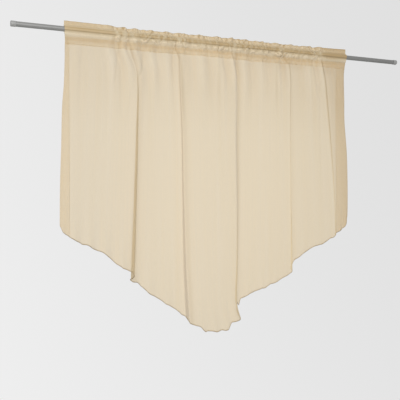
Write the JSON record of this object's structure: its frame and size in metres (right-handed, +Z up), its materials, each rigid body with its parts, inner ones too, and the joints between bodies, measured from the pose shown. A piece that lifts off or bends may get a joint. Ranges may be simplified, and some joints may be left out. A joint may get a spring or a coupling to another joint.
{
  "type": "cafe curtain on curtain rod",
  "caption": "Sheer pointed cafe curtain with a stand-up header, gathered by its rod pocket on a plain round metal rod with end caps.",
  "frame": {"origin": "middle of the rod's axis, half way between the two end faces", "axes": "+X along the rod, to the right as seen from the room; +Y towards the wall behind; +Z up"},
  "size_m": [1.46, 0.0545, 1.0059],
  "materials": {
    "voile": "sheer plain-weave voile, warm beige",
    "rod_metal": "satin grey",
    "cap": "satin grey"
  },
  "bodies": {
    "root": {"curtain": "voile", "rod": "rod_metal", "cap_left": "cap", "cap_right": "cap"}
  },
  "joints": []
}
